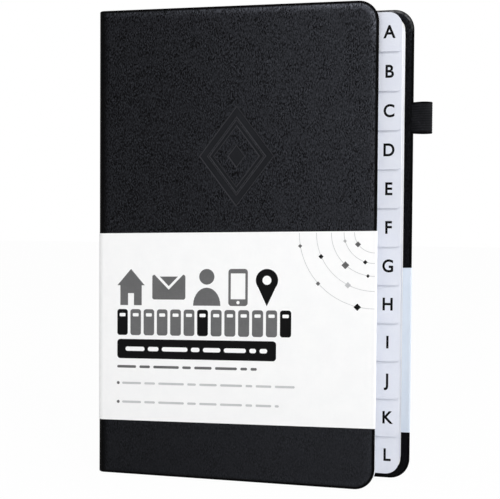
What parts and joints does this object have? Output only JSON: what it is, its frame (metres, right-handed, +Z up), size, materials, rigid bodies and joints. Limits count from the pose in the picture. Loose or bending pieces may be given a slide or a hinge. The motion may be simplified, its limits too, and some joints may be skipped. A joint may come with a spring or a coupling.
{
  "type": "address book",
  "caption": "Upright address book in a black leather case: lettered step-cut index tabs show beside a short front cover, with an elastic pen loop and a plain paper band.",
  "frame": {"origin": "middle of the closed book's box, on the surface that it stands on", "axes": "+Z up the spine from tail to head, -Y out of the front cover, +X from spine to fore edge"},
  "size_m": [0.1486, 0.0274, 0.21],
  "materials": {
    "black_leather": "fine pebbled grain, satin",
    "binder_board": "grey pressed board",
    "endpaper": "matt uncoated",
    "page_paper": "matt uncoated, cool white",
    "band_paper": "smooth coated, white",
    "lining_cloth": "open-weave cloth",
    "end_band_thread": "wound thread",
    "loop_elastic": "ribbed woven elastic"
  },
  "bodies": {
    "spine": {"spine_board": "binder_board", "spine_leather": "black_leather", "spine_lining": "lining_cloth", "head_band": "end_band_thread", "tail_band": "end_band_thread", "front_hinge_leather": "black_leather", "back_hinge_leather": "black_leather", "band_spine": "band_paper", "band_front_fold": "band_paper", "band_back_fold": "band_paper"},
    "front_cover": {"front_board": "binder_board", "front_leather": "black_leather", "front_pastedown": "endpaper", "band_front": "band_paper"},
    "back_cover": {"back_board": "binder_board", "back_leather": "black_leather", "back_pastedown": "endpaper", "pen_loop": "loop_elastic", "band_back": "band_paper"},
    "front_flyleaf": {"front_flyleaf": "endpaper"},
    "back_flyleaf": {"back_flyleaf": "endpaper"},
    "section_a": {"section_a": "page_paper"},
    "section_b": {"section_b": "page_paper"},
    "section_c": {"section_c": "page_paper"},
    "section_d": {"section_d": "page_paper"},
    "section_e": {"section_e": "page_paper"},
    "section_f": {"section_f": "page_paper"},
    "section_g": {"section_g": "page_paper"},
    "section_h": {"section_h": "page_paper"},
    "section_i": {"section_i": "page_paper"},
    "section_j": {"section_j": "page_paper"},
    "section_k": {"section_k": "page_paper"},
    "section_l": {"section_l": "page_paper"},
    "section_m": {"section_m": "page_paper"},
    "section_n": {"section_n": "page_paper"},
    "section_o": {"section_o": "page_paper"},
    "section_p": {"section_p": "page_paper"},
    "section_q": {"section_q": "page_paper"},
    "section_r": {"section_r": "page_paper"},
    "section_s": {"section_s": "page_paper"},
    "section_t": {"section_t": "page_paper"},
    "section_u": {"section_u": "page_paper"},
    "section_v": {"section_v": "page_paper"},
    "section_w": {"section_w": "page_paper"},
    "section_xyz": {"section_xyz": "page_paper"}
  },
  "joints": [
    {"name": "front_cover_hinge", "type": "hinge", "parent": "spine", "child": "front_cover", "pos_m": [-0.07283, -0.01222, 0], "axis": [0, 0, -1], "range_deg": [0, 178], "deforming": ["front_hinge_leather", "band_front_fold"]},
    {"name": "back_cover_hinge", "type": "hinge", "parent": "spine", "child": "back_cover", "pos_m": [-0.07283, 0.01027, 0], "axis": [0, 0, 1], "range_deg": [0, 178], "deforming": ["back_hinge_leather", "band_back_fold"]},
    {"name": "front_flyleaf_fold", "type": "hinge", "parent": "spine", "child": "front_flyleaf", "pos_m": [-0.07155, -0.01052, 0], "axis": [0, 0, -1], "range_deg": [0, 66]},
    {"name": "back_flyleaf_fold", "type": "hinge", "parent": "spine", "child": "back_flyleaf", "pos_m": [-0.07155, 0.00857, 0], "axis": [0, 0, 1], "range_deg": [0, 66]},
    {"name": "section_a_fold", "type": "hinge", "parent": "spine", "child": "section_a", "pos_m": [-0.07155, -0.00989, 0], "axis": [0, 0, -1], "range_deg": [0, 62]},
    {"name": "section_b_fold", "type": "hinge", "parent": "spine", "child": "section_b", "pos_m": [-0.07155, -0.00911, 0], "axis": [0, 0, -1], "range_deg": [0, 56.83]},
    {"name": "section_c_fold", "type": "hinge", "parent": "spine", "child": "section_c", "pos_m": [-0.07155, -0.00834, 0], "axis": [0, 0, -1], "range_deg": [0, 51.67]},
    {"name": "section_d_fold", "type": "hinge", "parent": "spine", "child": "section_d", "pos_m": [-0.07155, -0.00756, 0], "axis": [0, 0, -1], "range_deg": [0, 46.5]},
    {"name": "section_e_fold", "type": "hinge", "parent": "spine", "child": "section_e", "pos_m": [-0.07155, -0.00679, 0], "axis": [0, 0, -1], "range_deg": [0, 41.33]},
    {"name": "section_f_fold", "type": "hinge", "parent": "spine", "child": "section_f", "pos_m": [-0.07155, -0.00601, 0], "axis": [0, 0, -1], "range_deg": [0, 36.17]},
    {"name": "section_g_fold", "type": "hinge", "parent": "spine", "child": "section_g", "pos_m": [-0.07155, -0.00524, 0], "axis": [0, 0, -1], "range_deg": [0, 31]},
    {"name": "section_h_fold", "type": "hinge", "parent": "spine", "child": "section_h", "pos_m": [-0.07155, -0.00446, 0], "axis": [0, 0, -1], "range_deg": [0, 25.83]},
    {"name": "section_i_fold", "type": "hinge", "parent": "spine", "child": "section_i", "pos_m": [-0.07155, -0.00369, 0], "axis": [0, 0, -1], "range_deg": [0, 20.67]},
    {"name": "section_j_fold", "type": "hinge", "parent": "spine", "child": "section_j", "pos_m": [-0.07155, -0.00291, 0], "axis": [0, 0, -1], "range_deg": [0, 15.5]},
    {"name": "section_k_fold", "type": "hinge", "parent": "spine", "child": "section_k", "pos_m": [-0.07155, -0.00214, 0], "axis": [0, 0, -1], "range_deg": [0, 10.33]},
    {"name": "section_l_fold", "type": "hinge", "parent": "spine", "child": "section_l", "pos_m": [-0.07155, -0.00136, 0], "axis": [0, 0, -1], "range_deg": [0, 5.17]},
    {"name": "section_m_fold", "type": "hinge", "parent": "spine", "child": "section_m", "pos_m": [-0.07155, -0.00059, 0], "axis": [0, 0, 1], "range_deg": [0, 5.17]},
    {"name": "section_n_fold", "type": "hinge", "parent": "spine", "child": "section_n", "pos_m": [-0.07155, 0.00019, 0], "axis": [0, 0, 1], "range_deg": [0, 10.33]},
    {"name": "section_o_fold", "type": "hinge", "parent": "spine", "child": "section_o", "pos_m": [-0.07155, 0.00096, 0], "axis": [0, 0, 1], "range_deg": [0, 15.5]},
    {"name": "section_p_fold", "type": "hinge", "parent": "spine", "child": "section_p", "pos_m": [-0.07155, 0.00174, 0], "axis": [0, 0, 1], "range_deg": [0, 20.67]},
    {"name": "section_q_fold", "type": "hinge", "parent": "spine", "child": "section_q", "pos_m": [-0.07155, 0.00251, 0], "axis": [0, 0, 1], "range_deg": [0, 25.83]},
    {"name": "section_r_fold", "type": "hinge", "parent": "spine", "child": "section_r", "pos_m": [-0.07155, 0.00329, 0], "axis": [0, 0, 1], "range_deg": [0, 31]},
    {"name": "section_s_fold", "type": "hinge", "parent": "spine", "child": "section_s", "pos_m": [-0.07155, 0.00406, 0], "axis": [0, 0, 1], "range_deg": [0, 36.17]},
    {"name": "section_t_fold", "type": "hinge", "parent": "spine", "child": "section_t", "pos_m": [-0.07155, 0.00484, 0], "axis": [0, 0, 1], "range_deg": [0, 41.33]},
    {"name": "section_u_fold", "type": "hinge", "parent": "spine", "child": "section_u", "pos_m": [-0.07155, 0.00561, 0], "axis": [0, 0, 1], "range_deg": [0, 46.5]},
    {"name": "section_v_fold", "type": "hinge", "parent": "spine", "child": "section_v", "pos_m": [-0.07155, 0.00639, 0], "axis": [0, 0, 1], "range_deg": [0, 51.67]},
    {"name": "section_w_fold", "type": "hinge", "parent": "spine", "child": "section_w", "pos_m": [-0.07155, 0.00716, 0], "axis": [0, 0, 1], "range_deg": [0, 56.83]},
    {"name": "section_xyz_fold", "type": "hinge", "parent": "spine", "child": "section_xyz", "pos_m": [-0.07155, 0.00794, 0], "axis": [0, 0, 1], "range_deg": [0, 62]}
  ],
  "couplings": [
    {"joint": "front_flyleaf_fold", "follows": "front_cover_hinge", "ratio": 0.37078},
    {"joint": "back_flyleaf_fold", "follows": "back_cover_hinge", "ratio": 0.37078},
    {"joint": "section_a_fold", "follows": "front_cover_hinge", "ratio": 0.34831},
    {"joint": "section_b_fold", "follows": "front_cover_hinge", "ratio": 0.31926},
    {"joint": "section_c_fold", "follows": "front_cover_hinge", "ratio": 0.29028},
    {"joint": "section_d_fold", "follows": "front_cover_hinge", "ratio": 0.26123},
    {"joint": "section_e_fold", "follows": "front_cover_hinge", "ratio": 0.23219},
    {"joint": "section_f_fold", "follows": "front_cover_hinge", "ratio": 0.2032},
    {"joint": "section_g_fold", "follows": "front_cover_hinge", "ratio": 0.17415},
    {"joint": "section_h_fold", "follows": "front_cover_hinge", "ratio": 0.14511},
    {"joint": "section_i_fold", "follows": "front_cover_hinge", "ratio": 0.11612},
    {"joint": "section_j_fold", "follows": "front_cover_hinge", "ratio": 0.08707},
    {"joint": "section_k_fold", "follows": "front_cover_hinge", "ratio": 0.05803},
    {"joint": "section_l_fold", "follows": "front_cover_hinge", "ratio": 0.02904},
    {"joint": "section_m_fold", "follows": "back_cover_hinge", "ratio": 0.02904},
    {"joint": "section_n_fold", "follows": "back_cover_hinge", "ratio": 0.05803},
    {"joint": "section_o_fold", "follows": "back_cover_hinge", "ratio": 0.08707},
    {"joint": "section_p_fold", "follows": "back_cover_hinge", "ratio": 0.11612},
    {"joint": "section_q_fold", "follows": "back_cover_hinge", "ratio": 0.14511},
    {"joint": "section_r_fold", "follows": "back_cover_hinge", "ratio": 0.17415},
    {"joint": "section_s_fold", "follows": "back_cover_hinge", "ratio": 0.2032},
    {"joint": "section_t_fold", "follows": "back_cover_hinge", "ratio": 0.23219},
    {"joint": "section_u_fold", "follows": "back_cover_hinge", "ratio": 0.26123},
    {"joint": "section_v_fold", "follows": "back_cover_hinge", "ratio": 0.29028},
    {"joint": "section_w_fold", "follows": "back_cover_hinge", "ratio": 0.31926},
    {"joint": "section_xyz_fold", "follows": "back_cover_hinge", "ratio": 0.34831}
  ]
}
